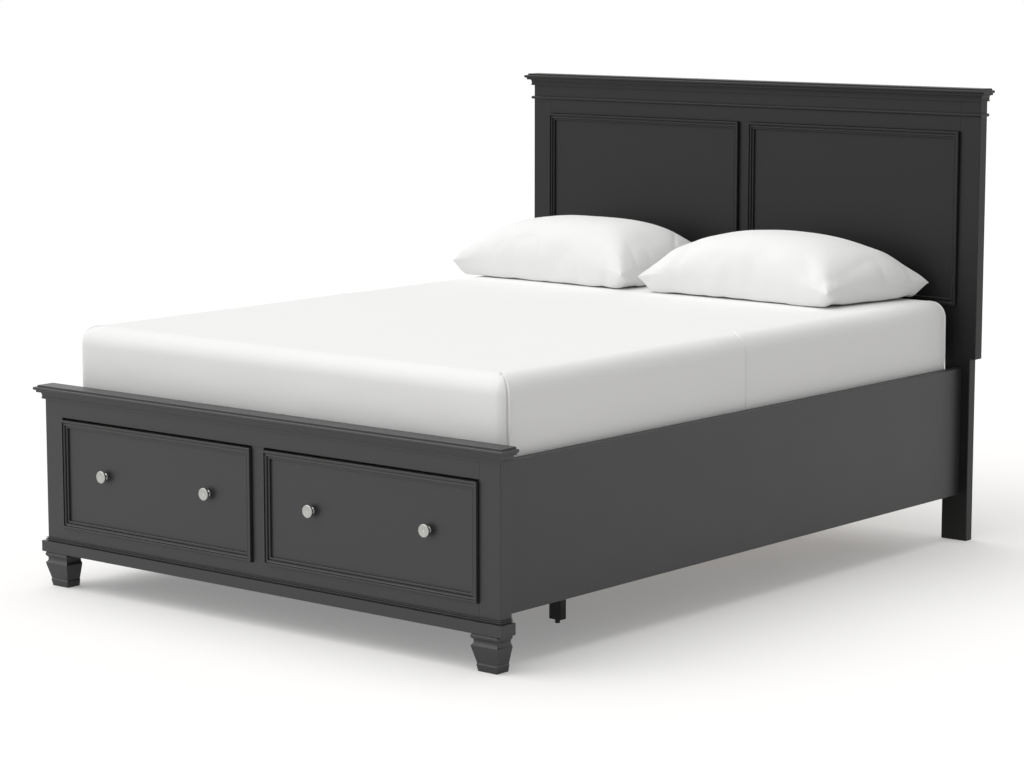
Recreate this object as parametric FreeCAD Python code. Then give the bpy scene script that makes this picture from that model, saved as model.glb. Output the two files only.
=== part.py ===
import FreeCAD, Part
import os

# Storage bed: panel headboard, low footboard with two drawers, side rails, slats, mattress and pillows.
# All lengths are in millimetres. +Z is up, -Y is the foot end, +Y is the head end and X is the width.
# The origin is on the floor under the middle of the bed. Left and right are as seen from the foot end.

# Mattress with its fitted sheet, and the space left round it
mattress_width = 1518.0
mattress_length = 2030.0
mattress_height = 253.0
mattress_edge_round = 50.0
mattress_corner_round = 56.0
sheet_hem_height = 34.0
mattress_side_play = 3.0
mattress_foot_gap = 33.5
mattress_head_gap = 29.0
sheet_thickness = 1.0
soft_play = 0.3

# Side rails
rail_thickness = 25.0
rail_height = 377.5
rail_rise = 53.0
rail_edge_round = 2.0

# Footboard frame
foot_post_cover = 23.0
foot_thickness = 41.0
foot_floor_gap = 95.0
foot_bottom_rail_height = 72.5
foot_top_rail_height = 70.5
foot_centre_stile_width = 42.0
drawer_opening_height = 304.0
corner_round = 2.0
joint_round = 0.8

# Feet of the footboard: shaped alike on the front and both sides, and flat at the back
foot_block_width = 86.0
foot_block_depth = 57.0
foot_block_reach = 12.0
foot_bead_top_inset = 3.5
foot_bead_foot_inset = 4.5
foot_bead_height = 14.0
foot_bead_bow = 4.0
foot_cove_height = 16.0
foot_cove_bow = 3.2
foot_taper_inset = 11.5
foot_taper_floor_gap = 20.5
foot_collar_inset = 10.2
foot_collar_floor_gap = 17.0
foot_toe_inset = 13.6

# Base moulding round the bottom of the footboard
base_height = 39.0
base_reach = 12.6
base_lip_height = 1.4
base_bead_height = 2.8
base_bead_reach = 4.5
base_quirk_height = 2.6
base_quirk_reach = 0.6

# Cap board and the moulding under it, the same on both boards
cap_overhang = 23.5
cap_thickness = 8.5
cap_edge_round = 3.0
cap_step_height = 5.0
cap_step_setback = 9.0
cap_step_round = 1.2
tier_reach = 17.5
tier_height = 6.0
cove_top_reach = 9.0
cove_foot_reach = 6.0
cove_height = 13.0
cove_bow = 1.0
fillet_reach = 7.0
fillet_height = 5.0

# Headboard frame
head_post_cover = 46.0
head_thickness = 37.0
head_floor_gap = 542.0
head_post_face = 67.0
head_bottom_rail_height = 154.0
head_opening_height = 510.0
head_top_rail_height = 112.5
head_centre_stile_width = 36.0
head_panel_lip = 8.0
head_panel_play = 0.4
head_bead_height = 9.0
head_bead_reach = 7.0
head_bead_nose = 3.0
head_bead_drop = 68.0

# Headboard legs, lapped into the backs of the posts
leg_width = 85.0
leg_thickness = 32.5
leg_cover = 28.5
leg_lap_width = 36.0
leg_lap_thickness = 18.0
leg_lap_height = 140.0
leg_lap_inset = 5.0
leg_lap_play = 0.3
leg_edge_round = 2.0

# Applied moulding round the flat field of each drawer front and headboard panel
mould_width = 20.5
mould_crest_height = 12.0
mould_crest_width = 6.0
mould_edge_round = 1.5
mould_cove_height = 9.0
mould_cove_width = 8.0
mould_cove_bow = 1.2
mould_band_height = 6.0
mould_quirk_width = 1.2
mould_quirk_depth = 2.2
head_field_recess = 1.5
head_panel_thickness = 15.5
head_panel_tongue = 9.0
drawer_field_recess = 2.5
drawer_front_thickness = 19.5

# Storage case behind the footboard
case_side_thickness = 15.0
case_side_play = 4.5
case_bottom_thickness = 12.0
case_top_thickness = 15.0
case_back_thickness = 12.0
case_floor_drop = 16.5
case_leg_width = 38.0
case_leg_depth = 25.0
case_leg_side_inset = 179.5
case_leg_back_inset = 2.0

# Slats, the ledgers that carry them, and the centre support
slat_drop = 10.5
slat_count = 14
slat_width = 70.0
slat_thickness = 18.0
slat_end_play = 5.0
slat_first_gap = 12.0
ledger_width = 25.0
ledger_height = 40.0
ledger_end_play = 2.0
beam_width = 45.0
beam_height = 70.0
beam_head_gap = 30.0
centre_leg_size = 40.0
centre_leg_place_shares = (0.42, 0.96)
glide_height = 11.0
glide_width = 13.0
glide_pin_width = 5.0
glide_pin_grip = 18.0
glide_bore_play = 0.2

# Steel hook plates let into the rail ends
plate_width = 18.0
plate_thickness = 3.0
plate_height = 150.0
hook_thickness = 3.0
hook_depth = 14.0
hook_height = 30.0
hook_spacing = 90.0
hook_play = 0.3

# Three-part runners on each side of each drawer
runner_length = 450.0
runner_height = 45.0
runner_sheet = 1.2
runner_play = 0.4
runner_web_gap = 0.8
runner_space = 13.0
runner_front_gap = 4.0
runner_back_gap = 16.0

# Drawers
drawer_gap = 2.0
drawer_top_gap = 5.0
box_lift = 22.5
box_top_gap = 28.0
box_back_gap = 40.0
box_wall = 12.0
box_bottom_thickness = 6.0
box_bottom_lift = 12.0
box_groove_depth = 6.0
box_groove_play = 0.3

# Knobs and their screws
knob_spacing = 391.0
knob_rise = 8.5
knob_reach = 19.0
knob_face_width = 34.0
knob_face_thickness = 7.0
knob_face_dish = 0.6
knob_edge_round = 2.2
knob_flare_height = 3.5
knob_neck_width = 11.0
knob_base_width = 17.0
knob_base_height = 2.4
knob_bore_depth = 12.0
screw_width = 4.0
screw_grip = 10.0
screw_play = 0.2
screw_head_width = 9.0
screw_head_height = 2.6

# Pillows
pillow_width = 745.0
pillow_depth = 426.0
pillow_height = 193.0
pillow_side_gap = 3.0
pillow_shift = -57.0
pillow_back_gap = 25.0
pillow_seam_height = 50.0
pillow_base_flat = 0.5
pillow_end_thickness = 14.0
pillow_place_shares = (-1.0, -0.86, -0.6, 0.0, 0.6, 0.86, 1.0)
pillow_crown_shares = (0.0, 0.36, 0.76, 1.0, 0.76, 0.36, 0.0)
pillow_depth_shares = (1.0, 0.975, 0.955, 0.945, 0.955, 0.975, 1.0)
pillow_base_shares = (0.95, 0.92, 0.9, 0.9, 0.9, 0.92, 0.95)
pillow_lift_shares = (0.8, 0.24, 0.0, 0.0, 0.0, 0.24, 0.8)
pillow_under_bow_share = 0.1

# Cutting tools run past the faces that they cut by this much
overrun = 4.0
# Two places nearer than this are one place
same_place = 0.001

# Planes that several pieces share
rail_inner = mattress_width / 2 + mattress_side_play
rail_outer = rail_inner + rail_thickness
rail_length = mattress_foot_gap + mattress_length + mattress_head_gap
foot_half = rail_outer + foot_post_cover
head_half = rail_outer + head_post_cover
leg_outer = rail_outer + leg_cover
total_length = cap_overhang + foot_thickness + rail_length + head_thickness
foot_face = cap_overhang - total_length / 2
foot_back = foot_face + foot_thickness
head_face = foot_back + rail_length
head_back = head_face + head_thickness
opening_bottom = foot_floor_gap + foot_bottom_rail_height
opening_top = opening_bottom + drawer_opening_height
foot_top = opening_top + foot_top_rail_height
opening_inner = foot_centre_stile_width / 2
opening_outer = rail_inner - case_side_play - case_side_thickness
panel_bottom = head_floor_gap + head_bottom_rail_height
panel_top = panel_bottom + head_opening_height
head_top = panel_top + head_top_rail_height
panel_inner = head_centre_stile_width / 2
panel_outer = head_half - head_post_face
panel_field = head_face + head_field_recess
panel_back = panel_field + head_panel_thickness
panel_shoulder = panel_back - head_panel_tongue
slat_top = opening_top - slat_drop
slat_bottom = slat_top - slat_thickness
rail_top = slat_top + rail_rise
rail_bottom = rail_top - rail_height
rail_middle = (foot_back + head_face) / 2
rail_centre_x = rail_inner + rail_thickness / 2
rail_centre_z = (rail_bottom + rail_top) / 2
case_floor = opening_bottom - case_floor_drop
case_underside = case_floor - case_bottom_thickness
case_ceiling = slat_bottom - case_top_thickness
case_outer = opening_outer + case_side_thickness
drawer_face = foot_face + drawer_field_recess
box_front = drawer_face + drawer_front_thickness
runner_front = box_front + runner_front_gap
runner_back = runner_front + runner_length
box_back = runner_back + runner_back_gap
case_back_inner = box_back + box_back_gap
case_back = case_back_inner + case_back_thickness
box_bottom = opening_bottom + box_lift
box_top = case_ceiling - box_top_gap
box_inner = opening_inner + runner_space
box_outer = opening_outer - runner_space
runner_centre = (box_bottom + box_top) / 2
knob_centre_z = (opening_bottom + opening_top) / 2 + knob_rise
mattress_front = foot_back + mattress_foot_gap
sheet_top = slat_top + mattress_height + soft_play + sheet_thickness

x_axis = FreeCAD.Vector(1, 0, 0)
y_axis = FreeCAD.Vector(0, 1, 0)
z_axis = FreeCAD.Vector(0, 0, 1)
sides = (("right", 1), ("left", -1))


def slab(x, y, z):
    """Rectangular block between a low and a high limit along each axis."""
    low = FreeCAD.Vector(x[0], y[0], z[0])
    return Part.makeBox(x[1] - x[0], y[1] - y[0], z[1] - z[0], low)


def grown(limits, amount):
    """Limits moved apart by this amount at both ends."""
    return (limits[0] - amount, limits[1] + amount)


def about(middle, width):
    """Limits of this width about a middle."""
    return (middle - width / 2, middle + width / 2)


def on_side(shape, sign):
    """The shape itself for the right side, or its mirror image for the left side."""
    if sign > 0:
        return shape
    return shape.mirror(FreeCAD.Vector(), x_axis)


def on_end(shape, sign):
    """The shape itself at the foot end of a rail, or its mirror image at the head end."""
    if sign > 0:
        return shape
    return shape.mirror(FreeCAD.Vector(0, rail_middle, 0), y_axis)


def eased(shape, radius, places):
    """Round the straight edges that lie at a place: two coordinates, and None along the edge."""
    chosen = []
    for edge in shape.Edges:
        ends = edge.BoundBox
        spans = ((ends.XMin, ends.XMax), (ends.YMin, ends.YMax), (ends.ZMin, ends.ZMax))
        for place in places:
            near = [value is None or max(abs(span[0] - value), abs(span[1] - value)) < same_place
                    for span, value in zip(spans, place)]
            if all(near):
                chosen.append(edge)
                break
    return shape.makeFillet(radius, chosen)


def bowed(start, end, bow):
    """Point at the middle of a chord, moved to the left of its direction by the bow."""
    along = (end[0] - start[0], end[1] - start[1])
    length = (along[0] ** 2 + along[1] ** 2) ** 0.5
    middle = ((start[0] + end[0]) / 2, (start[1] + end[1]) / 2)
    return (middle[0] - along[1] / length * bow, middle[1] + along[0] / length * bow)


def outline(start, steps):
    """Closed wire in the plane x = 0. A step is a point for a line, or a point and a bow for an arc."""
    edges = []
    here = start
    if steps[-1][0] != start:
        steps = steps + [(start, 0)]
    for there, bow in steps:
        first = FreeCAD.Vector(0, here[0], here[1])
        last = FreeCAD.Vector(0, there[0], there[1])
        if bow:
            middle = bowed(here, there, bow)
            edges.append(Part.Arc(first, FreeCAD.Vector(0, middle[0], middle[1]), last).toShape())
        else:
            edges.append(Part.LineSegment(first, last).toShape())
        here = there
    return Part.Wire(edges)


def mitred_bar(section, length, slopes):
    """Bar along x from 0 to length. A slope of 1 or -1 mitres that end outwards or inwards."""
    face = Part.Face(section)
    limits = face.BoundBox
    reach = max(abs(limits.YMin), abs(limits.YMax)) + overrun
    face.translate(FreeCAD.Vector(-reach, 0, 0))
    bar = face.extrude(FreeCAD.Vector(length + 2 * reach, 0, 0))
    corners = []
    for across in (-reach, reach):
        corners.append(FreeCAD.Vector(-slopes[0] * across, across, limits.ZMin - overrun))
    for across in (reach, -reach):
        corners.append(FreeCAD.Vector(length + slopes[1] * across, across, limits.ZMin - overrun))
    keeper = Part.Face(Part.makePolygon(corners + corners[:1]))
    height = limits.ZMax - limits.ZMin + 2 * overrun
    return bar.common(keeper.extrude(FreeCAD.Vector(0, 0, height))).Solids[0]


def prism(wire, length):
    """Solid made by moving a closed wire along x, with its middle at x = 0."""
    face = Part.Face(wire)
    face.translate(FreeCAD.Vector(-length / 2, 0, 0))
    return face.extrude(FreeCAD.Vector(length, 0, 0))


def turned_to(shape, origin, along, across):
    """Move a shape so that its x runs along one direction and its y across it, in another."""
    up = along.cross(across)
    move = FreeCAD.Matrix()
    move.A11, move.A21, move.A31 = along
    move.A12, move.A22, move.A32 = across
    move.A13, move.A23, move.A33 = up
    move.A14, move.A24, move.A34 = origin
    return shape.transformed(move)


def three_sided(section, half, front, back):
    """Moulding round the front and both sides of a board, mitred at its two front corners."""
    face_bar = mitred_bar(section, 2 * half, (1, 1))
    side_bar = mitred_bar(section, back - front, (0, 1))
    right = turned_to(side_bar, FreeCAD.Vector(half, back, 0), -y_axis, x_axis)
    front_right = FreeCAD.Vector(half, front, 0)
    return [turned_to(face_bar, front_right, -x_axis, -y_axis), right, on_side(right, -1)]


def picture_frame(section, x, z, y):
    """Four mitred bars round the inside of an opening, standing on the plane y towards the foot end."""
    across_bar = mitred_bar(section, x[1] - x[0], (-1, -1))
    upright_bar = mitred_bar(section, z[1] - z[0], (-1, -1))
    return [turned_to(across_bar, FreeCAD.Vector(x[0], y, z[0]), x_axis, z_axis),
            turned_to(upright_bar, FreeCAD.Vector(x[1], y, z[0]), z_axis, -x_axis),
            turned_to(across_bar, FreeCAD.Vector(x[1], y, z[1]), -x_axis, -z_axis),
            turned_to(upright_bar, FreeCAD.Vector(x[0], y, z[1]), -z_axis, x_axis)]


def save(name, *solids):
    """Write one piece, or a group of like pieces, to its own file."""
    shape = solids[0] if len(solids) == 1 else Part.makeCompound(list(solids))
    shape.exportStep(os.path.join("parts", name + ".step"))


def rounded_corner(radius):
    """Bow of the arc that rounds a square corner with this radius."""
    return radius * (1 - 0.5 ** 0.5)


def panel_mould_section():
    """Crest, hollow and rounded band, stepping down from the outer edge to the field, with a quirk at each step."""
    cove_end = mould_crest_width + mould_cove_width
    turn = rounded_corner(mould_edge_round)
    band_side = mould_band_height - mould_edge_round
    crest_side = mould_crest_height - mould_edge_round
    band_quirk = mould_band_height - mould_quirk_depth
    cove_quirk = mould_cove_height - mould_quirk_depth
    steps = [((mould_width, 0), 0), ((mould_width, band_side), 0),
             ((mould_width - mould_edge_round, mould_band_height), -turn),
             ((cove_end + mould_quirk_width, mould_band_height), 0),
             ((cove_end + mould_quirk_width, band_quirk), 0), ((cove_end, band_quirk), 0),
             ((cove_end, mould_cove_height), 0),
             ((mould_crest_width + mould_quirk_width, mould_cove_height), mould_cove_bow),
             ((mould_crest_width + mould_quirk_width, cove_quirk), 0), ((mould_crest_width, cove_quirk), 0),
             ((mould_crest_width, mould_crest_height), 0), ((mould_edge_round, mould_crest_height), 0),
             ((0, crest_side), -turn)]
    return outline((0, 0), steps)


def cap_moulding_section(top):
    """Tier, cove and fillet that hang under the cap board from this height."""
    tier = top - tier_height
    cove = tier - cove_height
    low = cove - fillet_height
    steps = [((fillet_reach, low), 0), ((fillet_reach, cove), 0), ((cove_foot_reach, cove), 0),
             ((cove_top_reach, tier), cove_bow), ((tier_reach, tier), 0), ((tier_reach, top), 0),
             ((0, top), 0)]
    return outline((0, low), steps)


def nosed_section(low, height, reach, nose):
    """Flat strip with a rounded nose."""
    shank = reach - nose
    return outline((0, low), [((shank, low), 0), ((shank, low + height), -nose), ((0, low + height), 0)])


def base_section():
    """Plinth band with a thin bead and a lip above it, and a quirk under each of them."""
    low = foot_floor_gap
    top = low + base_height
    lip = top - base_lip_height
    bead_top = lip - base_quirk_height
    bead_foot = bead_top - base_bead_height
    plinth = bead_foot - base_quirk_height
    steps = [((base_reach, low), 0), ((base_reach, plinth), 0), ((base_quirk_reach, plinth), 0),
             ((base_quirk_reach, bead_foot), 0), ((base_bead_reach, bead_foot), 0),
             ((base_bead_reach, bead_top), 0), ((base_quirk_reach, bead_top), 0), ((base_quirk_reach, lip), 0),
             ((base_bead_reach, lip), 0), ((base_bead_reach, top), 0), ((0, top), 0)]
    return outline((0, low), steps)


def edged_slab(half, front, back, z, radius, heights):
    """Slab with its front and both sides rounded at these heights."""
    places = []
    for height in heights:
        places += [(None, front, height), (-half, None, height), (half, None, height)]
    return eased(slab((-half, half), (front, back), z), radius, places)


def cap_board(half, face, back, top):
    """Cap board with a round nose over the front and both sides, and a thin step set back on top."""
    outer = half + cap_overhang
    front = face - cap_overhang
    shelf = top + cap_thickness
    crown = shelf + cap_step_height
    board = edged_slab(outer, front, back, (top, shelf), cap_edge_round, (top, shelf))
    step = edged_slab(outer - cap_step_setback, front + cap_step_setback, back, (shelf, crown),
                      cap_step_round, (crown,))
    return board.fuse(step).removeSplitter()


def hook_plate(play):
    """Steel plate in a rail end with two hooks that reach into the post, grown by the play."""
    plate = slab(grown(about(rail_centre_x, plate_width), play), (foot_back, foot_back + plate_thickness),
                 grown(about(rail_centre_z, plate_height), play))
    for sign in (-1, 1):
        middle = rail_centre_z + sign * hook_spacing / 2
        hook = slab(grown(about(rail_centre_x, hook_thickness), play), (foot_back - hook_depth - play, foot_back),
                    grown(about(middle, hook_height), play))
        plate = plate.fuse(hook)
    return plate.removeSplitter()


def foot_outline(width, back_is_flat):
    """Outline of a foot from one side: bead, cove, taper, collar and toe on one or both edges."""
    bead_foot = foot_floor_gap - foot_bead_height
    levels = [(foot_bead_top_inset, foot_floor_gap, 0), (foot_bead_foot_inset, bead_foot, foot_bead_bow),
              (0, bead_foot - foot_cove_height, -foot_cove_bow), (foot_taper_inset, foot_taper_floor_gap, 0),
              (foot_collar_inset, foot_collar_floor_gap, 0), (foot_toe_inset, 0, 0)]
    half = width / 2
    steps = [((half - inset, z), bow) for inset, z, bow in levels[1:]]
    if back_is_flat:
        steps += [((-half, 0), 0), ((-half, foot_floor_gap), 0)]
    else:
        steps.append(((foot_toe_inset - half, 0), 0))
        for upper, lower in reversed(list(zip(levels, levels[1:]))):
            steps.append(((upper[0] - half, upper[1]), lower[2]))
    return outline((half - foot_bead_top_inset, foot_floor_gap), steps)


def footboard_foot():
    """Foot where its front outline and its side outline meet."""
    front_view = turned_to(prism(foot_outline(foot_block_width, False), foot_block_depth),
                           FreeCAD.Vector(), -y_axis, x_axis)
    side_view = turned_to(prism(foot_outline(foot_block_depth, True), foot_block_width),
                          FreeCAD.Vector(), -x_axis, -y_axis)
    foot = front_view.common(side_view)
    foot.translate(FreeCAD.Vector(foot_half - foot_block_width / 2,
                                  foot_face - foot_block_reach + foot_block_depth / 2, 0))
    return foot.Solids[0]


def make_footboard():
    """Posts, rails and centre stile round two drawer openings, with cap, base moulding and feet."""
    y = (foot_face, foot_back)
    post = slab((opening_outer, foot_half), y, (foot_floor_gap, foot_top))
    post = eased(post, corner_round, [(foot_half, foot_face, None)])
    post = eased(post, joint_round, [(opening_outer, foot_face, None)])
    post = post.cut(hook_plate(hook_play))
    span = (-opening_outer, opening_outer)
    top_rail = eased(slab(span, y, (opening_top, foot_top)), joint_round, [(None, foot_face, opening_top)])
    bottom_rail = eased(slab(span, y, (foot_floor_gap, opening_bottom)), joint_round,
                        [(None, foot_face, opening_bottom)])
    stile = slab((-opening_inner, opening_inner), y, (opening_bottom, opening_top))
    stile = eased(stile, joint_round, [(-opening_inner, foot_face, None), (opening_inner, foot_face, None)])
    for side, sign in sides:
        save("footboard_post_" + side, on_side(post, sign))
        save("footboard_foot_" + side, on_side(footboard_foot(), sign))
    save("footboard_top_rail", top_rail)
    save("footboard_bottom_rail", bottom_rail)
    save("footboard_centre_stile", stile)
    save("footboard_cap", cap_board(foot_half, foot_face, foot_back, foot_top))
    save("footboard_cap_moulding", *three_sided(cap_moulding_section(foot_top), foot_half, foot_face, foot_back))
    save("footboard_base_moulding", *three_sided(base_section(), foot_half, foot_face, foot_back))


def make_headboard():
    """Frame with two panels in rebates, cap, bead, and legs lapped into the posts."""
    y = (head_face, head_back)
    z = (panel_bottom, panel_top)
    opening = (panel_inner, panel_outer)
    rebate = slab(grown(opening, head_panel_lip), (panel_shoulder, head_back + overrun), grown(z, head_panel_lip))
    leg_x = (leg_outer - leg_width, leg_outer)
    lap_x = (leg_outer - leg_lap_inset - leg_lap_width, leg_outer - leg_lap_inset)
    leg_back = head_face + leg_thickness
    lap = slab(lap_x, (leg_back - leg_lap_thickness, leg_back), (head_floor_gap, head_floor_gap + leg_lap_height))
    lap_pocket = slab(grown(lap_x, leg_lap_play), (leg_back - leg_lap_thickness, head_back + overrun),
                      (head_floor_gap - overrun, head_floor_gap + leg_lap_height + leg_lap_play))
    post = slab((panel_outer, head_half), y, (head_floor_gap, head_top))
    post = eased(post, corner_round, [(head_half, head_face, None), (head_half, head_back, None)])
    post = eased(post, joint_round, [(panel_outer, head_face, None)])
    post = post.cut(rebate).cut(lap_pocket)
    leg = slab(leg_x, (head_face, leg_back), (0, head_floor_gap))
    corners = [(x, depth, None) for x in leg_x for depth in (head_face, leg_back)]
    leg = eased(leg, leg_edge_round, corners).fuse(lap)
    leg = leg.cut(on_end(hook_plate(hook_play), -1)).removeSplitter()
    field_x = grown(opening, -head_panel_play)
    field_z = grown(z, -head_panel_play)
    tongue = slab(grown(field_x, head_panel_lip), (panel_shoulder, panel_back), grown(field_z, head_panel_lip))
    panel = tongue.fuse(slab(field_x, (panel_field, panel_back), field_z)).removeSplitter()
    frame = picture_frame(panel_mould_section(), field_x, field_z, panel_field)
    both_rebates = rebate.fuse(on_side(rebate, -1))
    span = (-panel_outer, panel_outer)
    top_rail = eased(slab(span, y, (panel_top, head_top)), joint_round, [(None, head_face, panel_top)])
    bottom_rail = eased(slab(span, y, (head_floor_gap, panel_bottom)), joint_round,
                        [(None, head_face, panel_bottom)])
    stile = eased(slab((-panel_inner, panel_inner), y, z), joint_round,
                  [(-panel_inner, head_face, None), (panel_inner, head_face, None)])
    for side, sign in sides:
        save("headboard_post_" + side, on_side(post, sign))
        save("headboard_leg_" + side, on_side(leg, sign))
        save("headboard_panel_" + side, on_side(panel, sign))
    save("headboard_panel_mouldings", *[on_side(bar, sign) for side, sign in sides for bar in frame])
    save("headboard_top_rail", top_rail.cut(both_rebates))
    save("headboard_bottom_rail", bottom_rail.cut(both_rebates))
    save("headboard_centre_stile", stile.cut(both_rebates))
    save("headboard_cap", cap_board(head_half, head_face, head_back, head_top))
    save("headboard_cap_moulding", *three_sided(cap_moulding_section(head_top), head_half, head_face, head_back))
    bead_low = head_top - head_bead_drop
    bead = nosed_section(bead_low, head_bead_height, head_bead_reach, head_bead_nose)
    save("headboard_bead_moulding", *three_sided(bead, head_half, head_face, head_back))


def make_rails():
    """Side rails with their ledgers and hook plates."""
    z = (rail_bottom, rail_top)
    rail = slab((rail_inner, rail_outer), (foot_back, head_face), z)
    rail = eased(rail, rail_edge_round, [(rail_outer, None, z[0]), (rail_outer, None, z[1])])
    pocket = slab(grown(about(rail_centre_x, plate_width), hook_play), (foot_back, foot_back + plate_thickness),
                  grown(about(rail_centre_z, plate_height), hook_play))
    rail = rail.cut(pocket).cut(on_end(pocket, -1))
    ledger = slab((rail_inner - ledger_width, rail_inner),
                  grown((case_back, head_face), -ledger_end_play), (slat_bottom - ledger_height, slat_bottom))
    plate = hook_plate(0)
    for side, sign in sides:
        save("side_rail_" + side, on_side(rail, sign))
    save("slat_ledgers", ledger, on_side(ledger, -1))
    save("rail_hook_plates", *[on_side(on_end(plate, end), sign) for side, sign in sides for end in (1, -1)])


def glide(x, y):
    """Nail-in glide: a round stub on the floor and a pin up into the leg."""
    at = FreeCAD.Vector(x, y, 0)
    stub = Part.makeCylinder(glide_width / 2, glide_height, at)
    pin = Part.makeCylinder(glide_pin_width / 2, glide_height + glide_pin_grip, at)
    return stub.fuse(pin).removeSplitter()


def leg_on_glide(x, y, top):
    """Straight leg with a bore for its glide."""
    leg = slab(x, y, (glide_height, top))
    corners = [(place, depth, None) for place in x for depth in y]
    leg = eased(leg, leg_edge_round, corners)
    at = FreeCAD.Vector(sum(x) / 2, sum(y) / 2, glide_height - overrun)
    bore = Part.makeCylinder(glide_pin_width / 2 + glide_bore_play, overrun + glide_pin_grip, at)
    return leg.cut(bore)


def make_platform():
    """Slats, centre beam and the legs under the beam and under the back of the storage case."""
    half = rail_inner - slat_end_play
    pitch = (rail_length - 2 * slat_first_gap - slat_width) / (slat_count - 1)
    slats = []
    for index in range(slat_count):
        front = foot_back + slat_first_gap + index * pitch
        slats.append(slab((-half, half), (front, front + slat_width), (slat_bottom, slat_top)))
    beam_y = (case_back, head_face - beam_head_gap)
    beam_bottom = slat_bottom - beam_height
    case_leg_x = case_outer - case_leg_side_inset - case_leg_width / 2
    case_leg_y = case_back - case_leg_back_inset - case_leg_depth / 2
    legs = []
    glides = []
    for sign in (1, -1):
        legs.append(leg_on_glide(about(sign * case_leg_x, case_leg_width), about(case_leg_y, case_leg_depth),
                                 case_underside))
        glides.append(glide(sign * case_leg_x, case_leg_y))
    for share in centre_leg_place_shares:
        middle = beam_y[0] + share * (beam_y[1] - beam_y[0])
        legs.append(leg_on_glide(about(0, centre_leg_size), about(middle, centre_leg_size), beam_bottom))
        glides.append(glide(0, middle))
    save("slats", *slats)
    save("centre_beam", slab(about(0, beam_width), beam_y, (beam_bottom, slat_bottom)))
    save("support_legs", *legs)
    save("leg_glides", *glides)


def make_case():
    """Open-fronted case that holds the drawers, behind the footboard."""
    y = (foot_back, case_back)
    inner_y = (foot_back, case_back_inner)
    z = (case_floor, case_ceiling)
    wall = slab((opening_outer, case_outer), inner_y, z)
    for side, sign in sides:
        save("case_side_" + side, on_side(wall, sign))
    save("case_divider", slab((-opening_inner, opening_inner), inner_y, z))
    span = (-case_outer, case_outer)
    save("case_bottom", slab(span, y, (case_underside, case_floor)))
    save("case_top", slab(span, y, (case_ceiling, slat_bottom)))
    save("case_back", slab(span, (case_back_inner, case_back), z))


def runner_member(web, tip, half_height):
    """Sheet-metal channel along Y, with its web at one X and its two flanges reaching to another."""
    inward = 1 if tip > web else -1
    y = (runner_front, runner_back)
    outer = slab(sorted((web, tip)), y, about(runner_centre, 2 * half_height))
    hollow_x = sorted((web + inward * runner_sheet, tip + inward * overrun))
    hollow = slab(hollow_x, grown(y, overrun), about(runner_centre, 2 * (half_height - runner_sheet)))
    return outer.cut(hollow)


def runner_set(wall, inward):
    """Case member, middle member and drawer member of one runner, nested with running play."""
    flange = runner_space - 2 * (runner_sheet + runner_web_gap)
    step = runner_sheet + runner_play
    half = runner_height / 2
    middle_web = wall + inward * (runner_sheet + runner_web_gap)
    drawer_web = wall + inward * runner_space
    return (runner_member(wall, wall + inward * flange, half),
            runner_member(middle_web, middle_web + inward * flange, half - step),
            runner_member(drawer_web, drawer_web - inward * flange, half - 2 * step))


def make_runners():
    """Runners on both sides of both drawers."""
    pair = (runner_set(opening_inner, 1), runner_set(opening_outer, -1))
    case_members = []
    for side, sign in sides:
        case_members += [on_side(members[0], sign) for members in pair]
        save("runner_middle_members_" + side, *[on_side(members[1], sign) for members in pair])
        save("runner_drawer_members_" + side, *[on_side(members[2], sign) for members in pair])
    save("runner_case_members", *case_members)


def knob(x):
    """Round knob: small base, straight neck and a broad flat face with a slight dish."""
    base, neck, face = knob_base_width / 2, knob_neck_width / 2, knob_face_width / 2
    back = knob_reach - knob_face_thickness
    flare = back - knob_flare_height
    rim = face - knob_edge_round
    soft = rounded_corner(knob_edge_round)
    steps = [((base, 0), 0), ((neck, knob_base_height), 0), ((neck, flare), 0), ((rim, back), soft),
             ((face, back + knob_edge_round), -soft), ((face, knob_reach - knob_edge_round), 0),
             ((rim, knob_reach), -soft), ((0, knob_reach - knob_face_dish), 0)]
    turned = Part.Face(outline((0, 0), steps)).revolve(FreeCAD.Vector(), z_axis)
    bore_foot = FreeCAD.Vector(0, 0, -overrun)
    bore = Part.makeCylinder(screw_width / 2 + screw_play, knob_bore_depth + overrun, bore_foot)
    shape = turned.cut(bore)
    return turned_to(shape, FreeCAD.Vector(x, drawer_face, knob_centre_z), x_axis, z_axis)


def knob_screw(x):
    """Machine screw from inside the drawer box, through both fronts, into the knob."""
    back = box_front + box_wall
    shank_length = back - drawer_face + screw_grip
    shank = Part.makeCylinder(screw_width / 2, shank_length, FreeCAD.Vector())
    head = Part.makeCylinder(screw_head_width / 2, screw_head_height, FreeCAD.Vector(0, 0, -screw_head_height))
    shape = shank.fuse(head).removeSplitter()
    return turned_to(shape, FreeCAD.Vector(x, back, knob_centre_z), x_axis, z_axis)


def screw_hole(x):
    """Clearance hole for a knob screw through the drawer front and the front of the box."""
    length = box_front + box_wall - drawer_face + 2 * overrun
    tool = Part.makeCylinder(screw_width / 2 + screw_play, length, FreeCAD.Vector())
    return turned_to(tool, FreeCAD.Vector(x, box_front + box_wall + overrun, knob_centre_z), x_axis, z_axis)


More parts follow.
